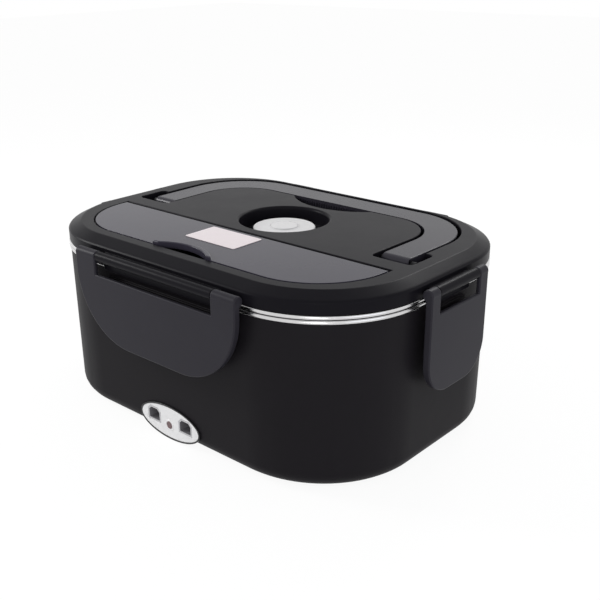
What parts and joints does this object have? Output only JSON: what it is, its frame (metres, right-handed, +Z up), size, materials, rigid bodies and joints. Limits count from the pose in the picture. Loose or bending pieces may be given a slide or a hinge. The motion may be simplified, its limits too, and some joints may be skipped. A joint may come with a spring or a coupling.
{
  "type": "electric lunch box",
  "caption": "Portable heated food container with a lift-out steel tray, a latched lift-off lid, a fold-flat carrying handle, a cutlery cover and a vent plug.",
  "frame": {"origin": "centre of the footprint, on the surface that the feet stand on", "axes": "+X to the right along the long side, -Y towards the side with the power inlets, +Z up"},
  "size_m": [0.2502, 0.1842, 0.106],
  "materials": {
    "black_shell": "fine matt black moulding",
    "charcoal_lid": "fine matt charcoal moulding",
    "latch_plastic": "fine matt charcoal moulding",
    "gloss_cover": "glossy purple-grey, slightly smoky",
    "handle_plastic": "satin purple-grey moulding",
    "steel": "polished stainless steel sheet",
    "pin_steel": "plain steel pin",
    "aluminium": "cast plate",
    "brass": "plain contact pin",
    "foot_rubber": "matt black rubber",
    "silicone_white": "white silicone",
    "silicone_grey": "translucent grey silicone",
    "ceramic": "unglazed ceramic",
    "silver_fascia": "silver plate, satin",
    "inlet_black": "plain black moulding",
    "lens_red": "dark red translucent lens, unlit",
    "board_green": "solder-masked board",
    "wire_red": "silicone wire sleeve",
    "wire_black": "silicone wire sleeve",
    "plate_pale": "blank pale plate"
  },
  "bodies": {
    "base": {"outer_shell": "black_shell", "bottom_cover": "black_shell", "foot_front_left": "foot_rubber", "foot_front_right": "foot_rubber", "foot_back_left": "foot_rubber", "foot_back_right": "foot_rubber", "bottom_screw_front_left": "pin_steel", "bottom_screw_front_right": "pin_steel", "bottom_screw_back_left": "pin_steel", "bottom_screw_back_right": "pin_steel", "heating_basin": "steel", "heat_plate": "aluminium", "mains_element": "ceramic", "dc_element": "ceramic", "element_clamp": "pin_steel", "clamp_screw_front": "pin_steel", "clamp_screw_back": "pin_steel", "thermostat": "inlet_black", "thermal_fuse": "ceramic", "port_housing": "black_shell", "port_fascia": "silver_fascia", "mains_inlet": "silver_fascia", "dc_inlet": "silver_fascia", "mains_contacts": "brass", "dc_contacts": "brass", "indicator_lens": "lens_red", "indicator_board": "board_green", "mains_wires": "wire_red", "dc_wires": "wire_black"},
    "tray": {"steel_tray": "steel"},
    "lid": {"lid_shell": "charcoal_lid", "lid_dish": "black_shell", "lid_gasket": "silicone_grey", "hinge_pin_front": "pin_steel", "hinge_pin_back": "pin_steel", "hinge_pin_left": "pin_steel", "hinge_pin_right": "pin_steel", "handle_pin_left": "pin_steel", "handle_pin_right": "pin_steel"},
    "latch_front": {"latch_front": "latch_plastic"},
    "latch_back": {"latch_back": "latch_plastic"},
    "latch_left": {"latch_left": "latch_plastic"},
    "latch_right": {"latch_right": "latch_plastic"},
    "handle": {"handle": "handle_plastic"},
    "cover": {"cutlery_cover": "gloss_cover", "blank_plate": "plate_pale"},
    "plug": {"vent_plug": "silicone_white"}
  },
  "joints": [
    {"name": "tray_lift", "type": "slide", "parent": "base", "child": "tray", "axis": [0, 0, 1], "range_m": [0, 0.09]},
    {"name": "lid_lift", "type": "slide", "parent": "tray", "child": "lid", "axis": [0, 0, 1], "range_m": [0, 0.06]},
    {"name": "latch_front_hinge", "type": "hinge", "parent": "lid", "child": "latch_front", "pos_m": [0, -0.0891, 0.097], "axis": [-1, 0, 0], "range_deg": [-4.5, 110]},
    {"name": "latch_back_hinge", "type": "hinge", "parent": "lid", "child": "latch_back", "pos_m": [0, 0.0891, 0.097], "axis": [1, 0, 0], "range_deg": [-4.5, 110]},
    {"name": "latch_left_hinge", "type": "hinge", "parent": "lid", "child": "latch_left", "pos_m": [-0.1221, 0, 0.097], "axis": [0, 1, 0], "range_deg": [-4.5, 110]},
    {"name": "latch_right_hinge", "type": "hinge", "parent": "lid", "child": "latch_right", "pos_m": [0.1221, 0, 0.097], "axis": [0, -1, 0], "range_deg": [-4.5, 110]},
    {"name": "handle_hinge", "type": "hinge", "parent": "lid", "child": "handle", "pos_m": [0, -0.0005, 0.1005], "axis": [1, 0, 0], "range_deg": [0, 90]},
    {"name": "cover_hinge", "type": "hinge", "parent": "lid", "child": "cover", "pos_m": [0, -0.025, 0.1026], "axis": [-1, 0, 0], "range_deg": [0, 100]},
    {"name": "plug_pull", "type": "slide", "parent": "lid", "child": "plug", "axis": [0, 0, 1], "range_m": [0, 0.015]}
  ]
}
